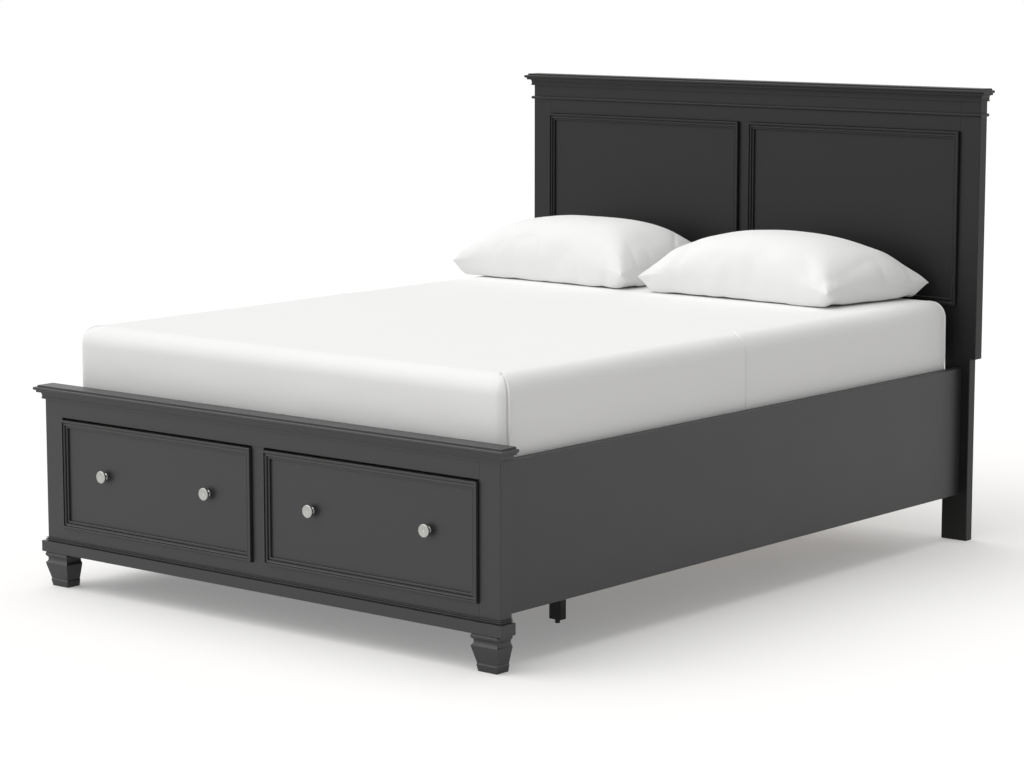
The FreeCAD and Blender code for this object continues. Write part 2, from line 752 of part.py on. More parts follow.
def make_drawers():
    """Inset front with applied moulding, box of four boards, bottom and knobs."""
    x = grown((opening_inner, opening_outer), -drawer_gap)
    z = (opening_bottom + drawer_gap, opening_top - drawer_top_gap)
    middle = (opening_inner + opening_outer) / 2
    knob_places = about(middle, knob_spacing)
    front = slab(x, (drawer_face, box_front), z)
    frame = picture_frame(panel_mould_section(), x, z, drawer_face)
    box_z = (box_bottom, box_top)
    inner_x = (box_inner + box_wall, box_outer - box_wall)
    inner_y = (box_front + box_wall, box_back - box_wall)
    panel_z = (box_bottom + box_bottom_lift, box_bottom + box_bottom_lift + box_bottom_thickness)
    groove = slab(grown(inner_x, box_groove_depth), grown(inner_y, box_groove_depth),
                  (panel_z[0], panel_z[1] + box_groove_play))
    panel_grip = box_groove_depth - box_groove_play
    bottom = slab(grown(inner_x, panel_grip), grown(inner_y, panel_grip), panel_z)
    side_boards = [slab(limits, (box_front, box_back), box_z).cut(groove)
                   for limits in ((box_inner, inner_x[0]), (inner_x[1], box_outer))]
    end_boards = [slab(inner_x, limits, box_z).cut(groove)
                  for limits in ((box_front, inner_y[0]), (inner_y[1], box_back))]
    for place in knob_places:
        front = front.cut(screw_hole(place))
        end_boards[0] = end_boards[0].cut(screw_hole(place))
    for side, sign in sides:
        save("drawer_front_" + side, on_side(front, sign))
        save("drawer_front_moulding_" + side, *[on_side(bar, sign) for bar in frame])
        save("drawer_box_sides_" + side, *[on_side(board, sign) for board in side_boards])
        save("drawer_box_ends_" + side, *[on_side(board, sign) for board in end_boards])
        save("drawer_bottom_" + side, on_side(bottom, sign))
        save("knobs_" + side, *[knob(sign * place) for place in knob_places])
        save("knob_screws_" + side, *[knob_screw(sign * place) for place in knob_places])


def rounded_block(growth):
    """Mattress-shaped block with rounded corners and edges, grown on all sides by this much."""
    x = grown(about(0, mattress_width), growth)
    y = grown((mattress_front, mattress_front + mattress_length), growth)
    z = grown((slat_top, slat_top + mattress_height), growth)
    corners = [(across, along, None) for across in x for along in y]
    block = eased(slab(x, y, z), mattress_corner_round + growth, corners)
    rims = [edge for edge in block.Edges
            if abs(edge.BoundBox.ZMax - edge.BoundBox.ZMin) < same_place]
    return block.makeFillet(mattress_edge_round + growth, rims)


def make_mattress():
    """Mattress and the fitted sheet drawn over its top and sides."""
    save("mattress", rounded_block(0))
    shell = rounded_block(soft_play + sheet_thickness).cut(rounded_block(soft_play))
    hem = slat_top + sheet_hem_height
    side_reach = mattress_width / 2 + overrun
    keeper = slab((-side_reach, side_reach), grown((foot_back, head_face), -overrun), (hem, sheet_top + overrun))
    save("fitted_sheet", shell.common(keeper).Solids[0])


def pillow():
    """Crowned pillow: sections of lines and arcs across the depth, lofted along the width."""
    crown = pillow_height - pillow_seam_height
    wires = []
    shares = zip(pillow_place_shares, pillow_crown_shares, pillow_depth_shares, pillow_base_shares,
                 pillow_lift_shares)
    for place, crown_share, depth_share, base_share, lift_share in shares:
        half = pillow_depth * depth_share / 2
        base = half * base_share
        low = pillow_seam_height * lift_share
        rise = pillow_end_thickness / 2 + (crown - pillow_end_thickness / 2) * crown_share
        seam = pillow_seam_height
        under = ((half - base) ** 2 + (seam - low) ** 2) ** 0.5 * pillow_under_bow_share
        steps = [((base, low), 0), ((half, seam), -under), ((-half, seam), -rise), ((-base, low), -under)]
        section = outline((-base, low), steps)
        section.translate(FreeCAD.Vector(place * pillow_width / 2, 0, 0))
        wires.append(section)
    body = Part.makeLoft(wires, True, False)
    keeper = slab(about(0, 2 * pillow_width), about(0, 2 * pillow_depth), (pillow_base_flat, 2 * pillow_height))
    body = body.common(keeper)
    body.translate(FreeCAD.Vector(0, 0, -pillow_base_flat))
    return body.Solids[0]


def make_pillows():
    """Two pillows side by side at the head end."""
    middle_y = head_face - pillow_back_gap - pillow_depth / 2
    pitch = pillow_width + pillow_side_gap
    for side, sign in sides:
        shape = pillow()
        shape.translate(FreeCAD.Vector(pillow_shift + sign * pitch / 2, middle_y, sheet_top + soft_play))
        save("pillow_" + side, shape)


def main():
    """Build every piece and write it to the parts folder."""
    os.makedirs("parts", exist_ok=True)
    make_footboard()
    make_headboard()
    make_rails()
    make_platform()
    make_case()
    make_runners()
    make_drawers()
    make_mattress()
    make_pillows()


main()
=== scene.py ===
"""Queen storage bed with two drawers in its footboard: finishes, bedding, fastenings and the studio round it.

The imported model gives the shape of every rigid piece. This file gives those pieces their finishes and makes
the mattress, the fitted sheet, the two pillows and the small fastenings that the model leaves out.
"""

import bmesh
import bpy
import numpy as np
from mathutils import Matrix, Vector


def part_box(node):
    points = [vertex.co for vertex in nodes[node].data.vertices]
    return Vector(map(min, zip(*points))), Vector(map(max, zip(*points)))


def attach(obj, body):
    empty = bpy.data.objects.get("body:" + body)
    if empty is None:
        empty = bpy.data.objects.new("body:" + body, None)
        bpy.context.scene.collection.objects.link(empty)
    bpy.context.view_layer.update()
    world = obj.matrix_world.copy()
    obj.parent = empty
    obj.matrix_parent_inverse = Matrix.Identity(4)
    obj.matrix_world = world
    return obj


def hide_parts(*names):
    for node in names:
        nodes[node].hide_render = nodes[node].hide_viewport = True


bl_info = {
    "name": "Storage bed",
    "version": (1, 0, 0),
    "blender": (4, 5, 0),
    "location": "3D View > Sidebar > Bed",
    "description": "Finishes, bedding and studio for a storage bed",
    "category": "Object",
}

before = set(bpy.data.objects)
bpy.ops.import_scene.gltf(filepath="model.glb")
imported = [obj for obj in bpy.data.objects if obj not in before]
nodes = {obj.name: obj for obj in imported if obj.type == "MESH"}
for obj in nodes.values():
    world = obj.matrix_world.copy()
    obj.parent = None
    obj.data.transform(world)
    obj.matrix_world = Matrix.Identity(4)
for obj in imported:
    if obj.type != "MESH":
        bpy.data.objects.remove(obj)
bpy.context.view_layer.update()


def node_box(name):
    """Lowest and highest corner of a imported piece, as two arrays."""
    low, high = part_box(name)
    return np.array(low), np.array(high)


mattress_low, mattress_high = node_box("mattress")
sheet_low, sheet_high = node_box("fitted_sheet")
slats_low, slats_high = node_box("slats")
rail_high = node_box("side_rail_right")[1]


# Colours and nodes

# Sockets of a Mix node that mixes colours: its two colours and its result.
MIX_A, MIX_B, MIX_RESULT = 6, 7, 2
# How far apart the bands of a wave texture stand at scale 1.
WAVE_SPACING = 0.314


def linear(hex_colour):
    """An sRGB hex colour, such as #3a3a3c, as linear red, green and blue, and 1."""
    srgb = np.array([int(hex_colour[i : i + 2], 16) for i in (1, 3, 5)]) / 255
    rgb = np.where(srgb <= 0.04045, srgb / 12.92, ((srgb + 0.055) / 1.055) ** 2.4)
    return (*rgb.tolist(), 1.0)


def toned(colour, share):
    """The same colour, darker or lighter by this share."""
    return (*(min(c * share, 1.0) for c in colour[:3]), 1.0)


def add_node(material, kind, settings=(), links=()):
    """Add one shader node of this kind.

    settings pairs a property or an input with its value. links pairs an input with the output that feeds it,
    or with a node, whose first output then does.
    """
    node = material.node_tree.nodes.new("ShaderNode" + kind)
    for key, value in dict(settings).items():
        if isinstance(key, str) and hasattr(node, key):
            setattr(node, key, value)
        else:
            node.inputs[key].default_value = value
    for key, source in dict(links).items():
        output = source.outputs[0] if isinstance(source, bpy.types.Node) else source
        material.node_tree.links.new(output, node.inputs[key])
    return node


def new_material(name):
    """An empty material with nodes."""
    material = bpy.data.materials.new(name)
    material.use_nodes = True
    material.node_tree.nodes.clear()
    return material


def finish_material(material, settings, links):
    """Close a material with its surface shader and output."""
    shader = add_node(material, "BsdfPrincipled", settings, links)
    add_node(material, "OutputMaterial", links={"Surface": shader})
    return material


def ray_seen(owner):
    """1 for a ray from the camera, off gloss or through glass, and 0 for a ray that only carries light."""
    path = add_node(owner, "LightPath")
    seen = path.outputs["Is Camera Ray"]
    for ray in ("Is Glossy Ray", "Is Transmission Ray"):
        seen = add_node(owner, "Math", {"operation": "MAXIMUM"}, {0: seen, 1: path.outputs[ray]})
    return seen


def noise(material, place, scale, detail):
    """Smooth noise over this place."""
    return add_node(material, "TexNoise", {"Scale": scale, "Detail": detail}, {"Vector": place})


def spread(material, share, low, high):
    """A number from low to high, as share runs from 0 to 1."""
    return add_node(material, "MapRange", {"To Min": low, "To Max": high}, {"Value": share})


def blend(material, share, first, second):
    """The first colour where share is 0, the second where it is 1, and their mix between."""
    mix = add_node(material, "Mix", {"data_type": "RGBA", MIX_A: first, MIX_B: second}, {0: share})
    return mix.outputs[MIX_RESULT]


def relief(material, height, strength, depth, over=None, invert=False):
    """The way the surface faces with this height on it, over another relief or a bevel where one is given."""
    links = {"Height": height, "Normal": over} if over else {"Height": height}
    return add_node(material, "Bump", {"Strength": strength, "Distance": depth, "invert": invert}, links)


def satin_lacquer(name, colour, shine):
    """Pigmented satin lacquer, sprayed on sanded hardwood and fibreboard.

    The eye sees an even charcoal with a soft, broad sheen. The gun leaves an orange-peel ripple, 2 mm across,
    and a gloss that changes a little from pass to pass, about 90 mm apart. Corners are rounded by the film.
    """
    m = new_material(name)
    place = add_node(m, "TexCoord").outputs["Object"]
    peel = noise(m, place, 500, 1)
    passes = noise(m, place, 11, 2)
    film = add_node(m, "Bevel", {"samples": 4, "Radius": 0.0009})
    ripple = relief(m, peel, 0.25, 0.00004, over=film)
    gloss = spread(m, passes, 0.38, 0.46)
    tone = blend(m, passes, toned(colour, 0.96), toned(colour, 1.04))
    return finish_material(m, {"Specular IOR Level": shine},
                           {"Base Color": tone, "Roughness": gloss, "Normal": ripple})


def melamine_board(name, colour):
    """Particle board faced with charcoal melamine, pressed on a pearl plate.

    The eye sees a dull, even face with a fine grit of 1 mm that breaks up the light.
    """
    m = new_material(name)
    place = add_node(m, "TexCoord").outputs["Object"]
    grit = add_node(m, "TexVoronoi", {"Scale": 900}, {"Vector": place})
    cloud = noise(m, place, 25, 3)
    pearl = relief(m, grit, 0.4, 0.00006)
    tone = blend(m, cloud, toned(colour, 0.9), toned(colour, 1.1))
    return finish_material(m, {"Roughness": 0.62}, {"Base Color": tone, "Normal": pearl})


# A board pitch that is longer than the bed.
UNBROKEN = 9.0


def timber(name, early, late, grain_axis, ring_width, gloss, board_pitch):
    """Plain sawn timber, planed: pine for slats and ledgers, sealed poplar for drawer boxes.

    The eye sees pale early wood with darker late wood in long wavering lines along the board, a fibre 1 mm
    wide and 60 mm long, and boards that differ a little, because each was cut at another place. board_pitch
    is how far apart boards lie along each axis, or UNBROKEN where one board takes up the whole length.
    """
    m = new_material(name)
    place = add_node(m, "TexCoord").outputs["Object"]
    cell = add_node(m, "VectorMath", {"operation": "SNAP", 1: board_pitch}, {0: place})
    board = add_node(m, "TexWhiteNoise", {"noise_dimensions": "3D"}, {"Vector": cell})
    moved = add_node(m, "VectorMath", {"operation": "ADD"}, {0: place, 1: board.outputs["Color"]})
    long_way = [1.0, 1.0, 1.0]
    long_way["XYZ".index(grain_axis)] = 0.05
    drawn = add_node(m, "Mapping", {"Scale": long_way}, {"Vector": moved})
    rings = add_node(m, "TexWave",
                     {"bands_direction": "X" if grain_axis != "X" else "Y", "wave_profile": "SAW",
                      "Scale": WAVE_SPACING / ring_width,
                      "Distortion": 7.0, "Detail": 3.0, "Detail Scale": 0.6},
                     {"Vector": drawn})
    fibre = noise(m, drawn, 350, 3)
    share = add_node(m, "Math", {"operation": "MULTIPLY_ADD", 1: 0.55, 2: 0.0}, {0: rings.outputs["Fac"]})
    share = add_node(m, "Math", {"operation": "MULTIPLY_ADD", 1: 0.45}, {0: fibre, 2: share})
    wood = blend(m, share, early, late)
    each = spread(m, board.outputs["Value"], 0.86, 1.0)
    tone = add_node(m, "VectorMath", {"operation": "SCALE"}, {0: wood, "Scale": each})
    uneven = relief(m, share, 0.5, 0.00012)
    return finish_material(m, {"Roughness": gloss}, {"Base Color": tone, "Normal": uneven})


def satin_nickel(name, colour):
    """Nickel plate on turned zinc, brushed before plating and dulled after.

    The eye sees a warm grey metal whose reflections are drawn out by scratches 0.4 mm apart.
    """
    m = new_material(name)
    place = add_node(m, "TexCoord").outputs["Object"]
    scratched = add_node(m, "Mapping", {"Scale": (0.08, 0.3, 1.0)}, {"Vector": place})
    brushing = noise(m, scratched, 2500, 2)
    wiped = noise(m, place, 160, 2)
    gloss = spread(m, wiped, 0.3, 0.42)
    line = relief(m, brushing, 0.2, 0.00003)
    tone = blend(m, brushing, toned(colour, 0.94), colour)
    return finish_material(m, {"Metallic": 1.0}, {"Base Color": tone, "Roughness": gloss, "Normal": line})


def zinc_plate(name, colour):
    """Cold rolled steel, pressed and bright zinc plated.

    The eye sees a cool grey metal with a faint cloud 8 mm across and rolling marks along its length.
    """
    m = new_material(name)
    place = add_node(m, "TexCoord").outputs["Object"]
    cloud = noise(m, place, 125, 3)
    rolled = add_node(m, "Mapping", {"Scale": (1.0, 0.03, 1.0)}, {"Vector": place})
    marks = noise(m, rolled, 1200, 2)
    gloss = spread(m, cloud, 0.26, 0.48)
    line = relief(m, marks, 0.2, 0.00003)
    tone = blend(m, cloud, toned(colour, 0.85), colour)
    return finish_material(m, {"Metallic": 1.0}, {"Base Color": tone, "Roughness": gloss, "Normal": line})


def moulded_plastic(name, colour):
    """Polyethylene, moulded in a spark-eroded tool.

    The eye sees a dull black with a fine leathery grain, 0.8 mm across, rubbed smoother here and there.
    """
    m = new_material(name)
    place = add_node(m, "TexCoord").outputs["Object"]
    grain = noise(m, place, 1250, 2)
    rubbed = noise(m, place, 180, 1)
    gloss = spread(m, rubbed, 0.45, 0.6)
    uneven = relief(m, grain, 0.4, 0.00005)
    return finish_material(m, {"Base Color": colour}, {"Roughness": gloss, "Normal": uneven})


def woven_cloth(name, colour, thread, unevenness):
    """Plain woven cotton, washed and pulled smooth.

    The eye sees a soft white with no gloss, a little fuzz towards the edges, and shallow unevenness 70 mm
    across where the cloth isn't quite taut. Threads of percale are 0.3 mm apart, too fine to show, so they
    are drawn coarser, at the spacing given. The weave follows the cloth's own flat pattern.
    """
    m = new_material(name)
    flat = add_node(m, "UVMap", {"uv_map": "cloth"})
    wave = {"Scale": WAVE_SPACING / thread, "Distortion": 0.4, "Detail": 1.0, "Detail Scale": 0.5}
    warp, weft = (add_node(m, "TexWave", {"bands_direction": across, **wave}, {"Vector": flat}).outputs["Fac"]
                  for across in "XY")
    weave = add_node(m, "Math", {"operation": "MULTIPLY"}, {0: warp, 1: weft})
    place = add_node(m, "TexCoord").outputs["Object"]
    slack = add_node(m, "TexNoise", {"Scale": 14, "Detail": 2, "Roughness": 0.4}, {"Vector": place})
    soft = relief(m, slack, 1.0, unevenness)
    fine = relief(m, weave, 0.35, 0.0001, over=soft)
    tone = blend(m, weave, toned(colour, 0.985), colour)
    return finish_material(m, {"Roughness": 0.9, "Specular IOR Level": 0.2, "Sheen Weight": 0.12,
                               "Sheen Roughness": 0.5},
                           {"Base Color": tone, "Normal": fine})


def knitted_ticking(name, colour):
    """Circular knit polyester ticking, quilted to a thin wadding.

    The eye sees a dull white with raised lozenges about 9 mm apart, which the stitches draw in.
    """
    m = new_material(name)
    flat = add_node(m, "UVMap", {"uv_map": "cloth"})
    turned = add_node(m, "Mapping", {"Rotation": (0.0, 0.0, 0.785)}, {"Vector": flat})
    lozenges = add_node(m, "TexVoronoi", {"Scale": 110, "Randomness": 0.0, "distance": "MANHATTAN"},
                        {"Vector": turned})
    knit = noise(m, flat, 700, 1)
    quilted = relief(m, lozenges, 0.8, 0.0008, invert=True)
    fine = relief(m, knit, 0.3, 0.0001, over=quilted)
    # The colour darkens towards the stitched hollows between the lozenges: painted shade.
    tone = blend(m, lozenges, colour, toned(colour, 0.9))
    return finish_material(m, {"Roughness": 0.88, "Specular IOR Level": 0.25, "Sheen Weight": 0.15},
                           {"Base Color": tone, "Normal": fine})


# Shapes


def new_piece(name, points, faces, material, flat=None):
    """One smooth object at the origin, from arrays of vertices and quads.

    flat gives each vertex's place on the flat cloth, for a material that follows it.
    """
    mesh = bpy.data.meshes.new(name)
    mesh.from_pydata(points.reshape(-1, 3).tolist(), [], faces.reshape(-1, faces.shape[-1]).tolist())
    if flat is not None:
        corners = np.empty(len(mesh.loops), np.int32)
        mesh.loops.foreach_get("vertex_index", corners)
        places = flat.reshape(-1, 2)[corners].astype(np.float32)
        mesh.uv_layers.new(name="cloth").data.foreach_set("uv", places.ravel())
    mesh.shade_smooth()
    mesh.materials.append(material)
    piece = bpy.data.objects.new(name, mesh)
    bpy.context.scene.collection.objects.link(piece)
    return piece


def close_up(piece, distance=0.00002):
    """Merge vertices that lie on each other, drop faces with no area and turn every face outwards."""
    shell = bmesh.new()
    shell.from_mesh(piece.data)
    bmesh.ops.remove_doubles(shell, verts=shell.verts, dist=distance)
    bmesh.ops.dissolve_degenerate(shell, dist=distance, edges=shell.edges)
    bmesh.ops.recalc_face_normals(shell, faces=shell.faces)
    shell.to_mesh(piece.data)
    shell.free()
    piece.data.shade_smooth()


def grid_faces(rows, columns, ring):
    """Quads between the points of a grid, row by row. With ring, each row closes on itself."""
    row = np.arange(rows - 1)[:, None] * columns
    column = np.arange(columns if ring else columns - 1)[None, :]
    following = (column + 1) % columns
    quads = (row + column, row + following, row + columns + following, row + columns + column)
    return np.stack(np.broadcast_arrays(*quads), -1).reshape(-1, 4)


def vertices_of(piece):
    """The piece's vertices as one array."""
    points = np.empty(len(piece.data.vertices) * 3)
    piece.data.vertices.foreach_get("co", points)
    return points.reshape(-1, 3)


def move_vertices(piece, points):
    """Write one array of vertices back to the piece."""
    piece.data.vertices.foreach_set("co", points.astype(np.float32).ravel())
    piece.data.update()


def eased_step(values, start, end):
    """0 before start, 1 after end, and a smooth rise between: t squared times three less two t."""
    t = np.clip((values - start) / (end - start), 0, 1)
    return t * t * (3 - 2 * t)


def bell(values, width):
    """A bell curve: 1 in the middle, falling to a third at this width."""
    return np.exp(-((values / width) ** 2))


def unevenness(points, size, seed):
    """Smooth unevenness between about -1 and 1: twice the mean of 14 sine waves of about this size.

    Each wave has its own direction, length and phase.
    """
    random, count = np.random.default_rng(seed), 14
    waves = random.normal(size=(count, 3))
    waves *= (2 * np.pi / size * random.uniform(0.6, 1.5, count) / np.linalg.norm(waves, axis=1))[:, None]
    return np.sin(points @ waves.T + random.uniform(0, 2 * np.pi, count)).mean(-1) * 2


def round_plan(sides, corner_steps):
    """Points once round a rectangle with round corners, from the right side on, against the clock.

    sides holds four arrays of shares from -1 to 1: where the points stand along each straight side. Returns
    for each point its place on the straight frame inside the corners, from -1 to 1, and its way outwards.
    """
    arc = np.linspace(0, np.pi / 2, corner_steps + 2)[1:-1]
    rows = []
    for quarter, shares in enumerate(sides):
        angle = quarter * np.pi / 2
        along = np.concatenate((shares, np.ones(corner_steps)))
        turn = np.concatenate((np.zeros(len(shares)), arc))
        ahead, aside = np.cos(angle), np.sin(angle)
        rows.append((ahead - aside * along, aside + ahead * along, angle + turn))
    return np.concatenate(rows, axis=1)


def drawn_in(plan, half, radius, inset):
    """The plan drawn in by each inset: the corners tighten first, and then the straight frame shrinks."""
    core_x, core_y, direction = plan
    inset = inset[:, None]
    taken = np.maximum(radius, inset)
    bend = np.maximum(radius - inset, 0)
    x = core_x * np.maximum(half[0] - taken, 0) + bend * np.cos(direction)
    y = core_y * np.maximum(half[1] - taken, 0) + bend * np.sin(direction)
    return x, y


def lengths_along(inset, height):
    """Length along a profile from its first point to each point."""
    return np.concatenate(([0], np.cumsum(np.hypot(np.diff(inset), np.diff(height)))))


def lengths_round(row):
    """Length in plan along a closed row of points, from its first point to each point after it."""
    return np.cumsum(np.hypot(*(np.roll(row, -1, 0) - row)[:, :2].T))


def edge_profile(low, high, radius, tuck, steps, reach, spacing=0.021):
    """Profile of a slab's edge: round the lower edge, up the side, round the upper edge and inwards.

    Returns inset from the side, height, the tilt of the outward direction above level, and length along the
    cloth. tuck is how far round the lower edge it starts, in radians, and steps how many points that takes.
    reach is the last inset on top, and spacing how far apart its points stand there.
    """
    lower = np.linspace(-tuck, 0, steps)
    upper = np.linspace(0, np.pi / 2, steps + 2)
    side = np.linspace(low + radius, high - radius, 2 * steps + 4)[1:-1]
    top = np.linspace(radius, reach, int((reach - radius) / spacing))[1:]
    inset = np.concatenate((radius * (1 - np.cos(lower)), 0 * side, radius * (1 - np.cos(upper)), top))
    height = np.concatenate((low + radius + radius * np.sin(lower), side,
                             high - radius + radius * np.sin(upper), 0 * top + high))
    tilt = np.concatenate((lower, 0 * side, upper, 0 * top + np.pi / 2))
    return inset, height, tilt, lengths_along(inset, height)


def swept_slab(plan, profile, half, centre, radius, fold=0.05):
    """The profile carried round the plan. Returns points, outward directions and the place on the flat cloth.

    The flat pattern is the top's own plan up to fold from its edge. What lies outside that is folded out from
    there, along its direction outwards.
    """
    inset, height, tilt, length = profile
    x, y = drawn_in(plan, half, radius, inset)
    points = np.stack((x + centre[0], y + centre[1], np.broadcast_to(height[:, None], x.shape)), -1)
    level, rise = np.cos(tilt)[:, None], np.sin(tilt)[:, None]
    ahead, aside = np.cos(plan[2]), np.sin(plan[2])
    outwards = np.stack((level * ahead, level * aside, np.broadcast_to(rise, x.shape)), -1)
    folded = np.maximum(length[-1] - length - (inset[-1] - fold), 0)[:, None]
    x, y = drawn_in(plan, half, radius, np.maximum(inset, fold))
    return points, outwards, np.stack((x + folded * ahead, y + folded * aside), -1)


def inflate(piece, pressure, most, slack, frames=20):
    """Blow a cover out from inside as cloth with no weight, and keep each point within most of its start."""
    start = vertices_of(piece)
    cloth = piece.modifiers.new("cloth", "CLOTH")
    cloth.settings.quality = 6
    cloth.settings.mass = 0.2
    cloth.settings.tension_stiffness = 25
    cloth.settings.compression_stiffness = 25
    cloth.settings.shear_stiffness = 8
    cloth.settings.bending_stiffness = 0.6
    cloth.settings.use_pressure = True
    cloth.settings.uniform_pressure_force = pressure
    cloth.settings.shrink_min = -slack
    cloth.settings.effector_weights.gravity = 0
    cloth.collision_settings.use_collision = False
    cloth.point_cache.frame_start = 1
    cloth.point_cache.frame_end = frames
    for number in range(1, frames + 1):
        bpy.context.scene.frame_set(number)
    moved = vertices_of(piece.evaluated_get(bpy.context.evaluated_depsgraph_get())) - start
    piece.modifiers.remove(cloth)
    bpy.context.scene.frame_set(1)
    distance = np.linalg.norm(moved, axis=1, keepdims=True)
    capped = most * np.tanh(distance / most)
    share = np.divide(capped, distance, out=np.zeros_like(capped), where=distance > 0)
    move_vertices(piece, start + moved * share)


def subdivide(piece):
    """Give the piece one level of subdivision, applied."""
    finer = piece.modifiers.new("finer", "SUBSURF")
    finer.levels = finer.render_levels = 1
    bpy.context.view_layer.objects.active = piece
    bpy.ops.object.modifier_apply(modifier=finer.name)


# What a user would change


class BedColours(bpy.types.PropertyGroup):
    """Colours of the finishes."""

    def shade(name, description, hex_colour):
        """One colour of the list."""
        return bpy.props.FloatVectorProperty(name=name, description=description, default=linear(hex_colour),
                                             subtype="COLOR", size=4, min=0.0, max=1.0)

    lacquer: shade("Lacquer", "Satin lacquer on the footboard, drawers and rails", "#29292a")
    # Darker than the footboard's lacquer though it is the same paint: painted shade.
    head_lacquer: shade("Headboard lacquer", "Satin lacquer on the headboard", "#1b1b1b")
    # Darker than the footboard's lacquer: painted shade of the space under the bed.
    leg_lacquer: shade("Support leg lacquer", "Satin lacquer on the legs under the bed", "#161616")
    melamine: shade("Melamine", "Boards of the drawer case", "#2a2a2b")
    pine_early: shade("Pine, early wood", "Pale wood of slats, ledgers and beam", "#dcbf92")
    pine_late: shade("Pine, late wood", "Dark lines of slats, ledgers and beam", "#b98b56")
    poplar_early: shade("Poplar, early wood", "Pale wood of the drawer boxes", "#d6c29c")
    poplar_late: shade("Poplar, late wood", "Dark lines of the drawer boxes", "#b99c6e")
    nickel: shade("Satin nickel", "Drawer knobs", "#abaca8")
    zinc: shade("Zinc plate", "Runners, hook plates, screws and bolts", "#b9bdc1")
    plastic: shade("Plastic", "Glides under the support legs", "#121212")
    cotton: shade("Cotton", "Fitted sheet and pillows", "#f0f0ef")
    ticking: shade("Ticking", "Cover of the mattress", "#e2e1dc")


class BedSizes(bpy.types.PropertyGroup):
    """Sizes of the bedding and fastenings."""

    def length(name, description, default):
        """One length of the list, in metres."""
        return bpy.props.FloatProperty(name=name, description=description, default=default, min=0.0,
                                       unit="LENGTH", subtype="DISTANCE")

    sheet_thickness: length("Sheet thickness", "Thickness of the fitted sheet", 0.001)
    sheet_edge: length("Sheet edge radius", "How round the sheet lies over the mattress edge", 0.0515)
    sheet_corner: length("Sheet corner radius", "How round the sheet's corners are in plan", 0.032)
    dart_depth: length("Dart depth", "How deep the sheet's corner darts are drawn in", 0.009)
    slack: length("Slack", "How far the sheet lies below its tightest line", 0.0014)
    tape_radius: length("Tape radius", "Half the width of the mattress's edge tape", 0.005)
    tuft_depth: length("Quilting depth", "How far the mattress border is drawn in", 0.003)
    pillow_seam: length("Pillow seam height", "Height of a pillow's seam above the sheet", 0.05)
    pillow_swell: length("Pillow swell", "How far the cloth of a pillow may move as it fills", 0.007)
    fold_height: length("Fold height", "Height of the folds at a pillow's corners", 0.0032)
    pucker: length("Pucker", "Height of the puckers along a pillow's seam", 0.0008)
    dent_depth: length("Dent depth", "Depth of the soft dents in a pillow's filling", 0.0022)
    crease_height: length("Crease height", "Height of the soft creases in a pillow's cover", 0.0028)
    thread: length("Drawn thread spacing", "Spacing at which the weave is drawn", 0.0014)
    screw_head: length("Screw head width", "Width of the screw heads in the slats", 0.008)
    bolt_head: length("Bolt head width", "Width of the bolt heads at the back of the headboard", 0.018)


class BedStudio(bpy.types.PropertyGroup):
    """Light, floor and camera."""

    def number(name, description, default):
        """One plain number of the list."""
        return bpy.props.FloatProperty(name=name, description=description, default=default)

    def angle(name, description, default):
        """One angle of the list, in radians."""
        return bpy.props.FloatProperty(name=name, description=description, default=default, subtype="ANGLE")

    sky: number("Sky", "Strength of the even light from all sides", 0.372)
    key: number("Key light", "Strength of the soft light from above", 2.05)
    key_width: angle("Key width", "How wide the key light looks from the bed", float(np.radians(75)))
    key_tilt: angle("Key tilt", "How far the key light leans to the front", 0.33)
    key_turn: angle("Key turn", "How far the key light turns to the right", -1.2)
    fill: number("Fill light", "Strength of the low light from the front", 0.66)
    fill_width: angle("Fill width", "How wide the fill light looks from the bed", float(np.radians(50)))
    fill_tilt: angle("Fill tilt", "How far the fill light leans to the front", 1.25)
    fill_turn: angle("Fill turn", "How far the fill light turns to the right", -0.6)
    floor_lift: number("Floor lift", "How much brighter the floor shows", 0.23)
    lens: number("Lens", "Focal length in millimetres", 104.02)
    turn: angle("Camera turn", "Angle round the bed from its foot end", float(np.radians(39.72)))
    pitch: angle("Camera pitch", "How far the camera looks down", float(np.radians(8.36)))
    place: bpy.props.FloatVectorProperty(name="Camera place", description="Where the camera stands", size=3,
                                         default=(5.26797, -6.39704, 1.73019), subtype="TRANSLATION",
                                         unit="LENGTH")


def colours():
    """The scene's colours, each as a plain tuple."""
    group = bpy.context.scene.bed_colours
    return {name: tuple(getattr(group, name)) for name in BedColours.__annotations__}


def sizes():
    """The scene's sizes."""
    return bpy.context.scene.bed_sizes


def give(names, material):
    """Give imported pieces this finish."""
    for name in names:
        slots = nodes[name].material_slots
        if not slots:
            raise RuntimeError(f"{name} has no material slot")
        for slot in slots:
            slot.material = material


def named(*starts):
    """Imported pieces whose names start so."""
    found = [name for name in sorted(nodes) if name.startswith(starts)]
    if not found:
        raise RuntimeError(f"no packed piece starts with {starts}")
    return found


# One operator for each piece or group of like pieces


class BED_OT_lacquer_footboard(bpy.types.Operator):
    """Give the footboard, the drawer fronts and the side rails their satin lacquer"""

    bl_idname = "bed.lacquer_footboard"
    bl_label = "Lacquer footboard, drawers and rails"

    def execute(self, context):
        lacquer = satin_lacquer("satin_lacquer_charcoal", colours()["lacquer"], shine=0.5)
        give(named("footboard_", "drawer_front", "side_rail"), lacquer)
        return {"FINISHED"}


class BED_OT_lacquer_headboard(bpy.types.Operator):
    """Give the headboard and its legs their satin lacquer, darkened as painted shade"""

    bl_idname = "bed.lacquer_headboard"
    bl_label = "Lacquer headboard"

    def execute(self, context):
        # The darker colour and the lower shine of this copy of the lacquer are painted shade.
        lacquer = satin_lacquer("satin_lacquer_headboard", colours()["head_lacquer"], shine=0.27)
        give(named("headboard_"), lacquer)
        return {"FINISHED"}


